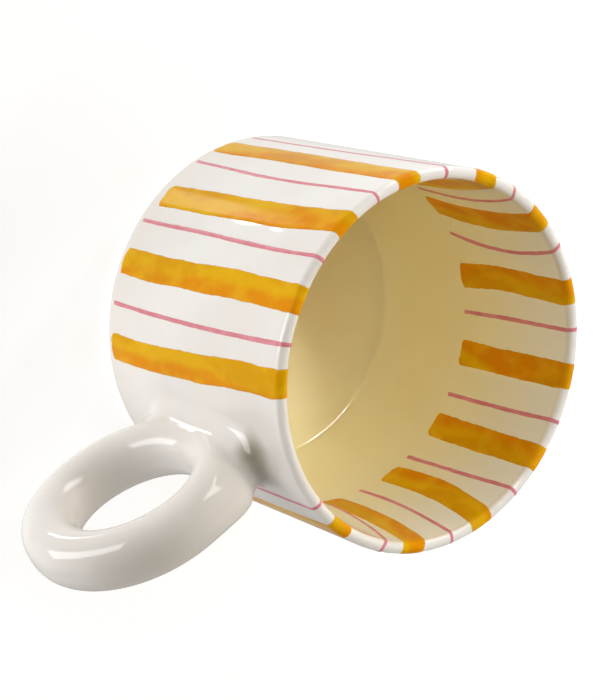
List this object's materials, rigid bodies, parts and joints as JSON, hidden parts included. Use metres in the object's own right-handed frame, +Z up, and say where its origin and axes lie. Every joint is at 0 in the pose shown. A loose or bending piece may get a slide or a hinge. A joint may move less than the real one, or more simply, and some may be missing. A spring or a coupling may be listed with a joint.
{
  "type": "mug",
  "caption": "Straight-sided glazed ceramic mug with a round finger-ring handle and brush strokes that run over the lip.",
  "frame": {"origin": "centre of the foot, on the surface that the mug stands on", "axes": "+Z up along the cup's axis, out of its mouth; +X from the cup's axis through the middle of the ring handle; +Y completes the right-handed frame and runs along the finger hole"},
  "size_m": [0.1425, 0.0922, 0.0731],
  "materials": {
    "fired_clay": "bare fired stoneware, matt and slightly rough; it shows only on the foot ring",
    "white_glaze": "glossy opaque warm-white glaze with a faintly uneven surface",
    "cream_glaze": "glossy cream liner glaze",
    "ochre_paint": "glossy brushed ceramic colour, streaked from yellow to orange",
    "pink_paint": "glossy brushed ceramic colour, thin line"
  },
  "bodies": {
    "root": {"clay_cup": "fired_clay", "outside_glaze": "white_glaze", "inside_glaze": "cream_glaze", "recess_glaze": "white_glaze", "handle_ring": "fired_clay", "joining_slip": "fired_clay", "handle_glaze": "white_glaze", "ochre_stroke_1": "ochre_paint", "ochre_stroke_2": "ochre_paint", "ochre_stroke_3": "ochre_paint", "ochre_stroke_4": "ochre_paint", "ochre_stroke_5": "ochre_paint", "ochre_stroke_6": "ochre_paint", "ochre_stroke_7": "ochre_paint", "ochre_stroke_8": "ochre_paint", "ochre_stroke_9": "ochre_paint", "ochre_stroke_10": "ochre_paint", "ochre_stroke_11": "ochre_paint", "ochre_stroke_12": "ochre_paint", "pink_line_1": "pink_paint", "pink_line_2": "pink_paint", "pink_line_3": "pink_paint", "pink_line_4": "pink_paint", "pink_line_5": "pink_paint", "pink_line_6": "pink_paint", "pink_line_7": "pink_paint", "pink_line_8": "pink_paint", "pink_line_9": "pink_paint", "pink_line_10": "pink_paint", "pink_line_11": "pink_paint", "pink_line_12": "pink_paint"}
  },
  "joints": []
}
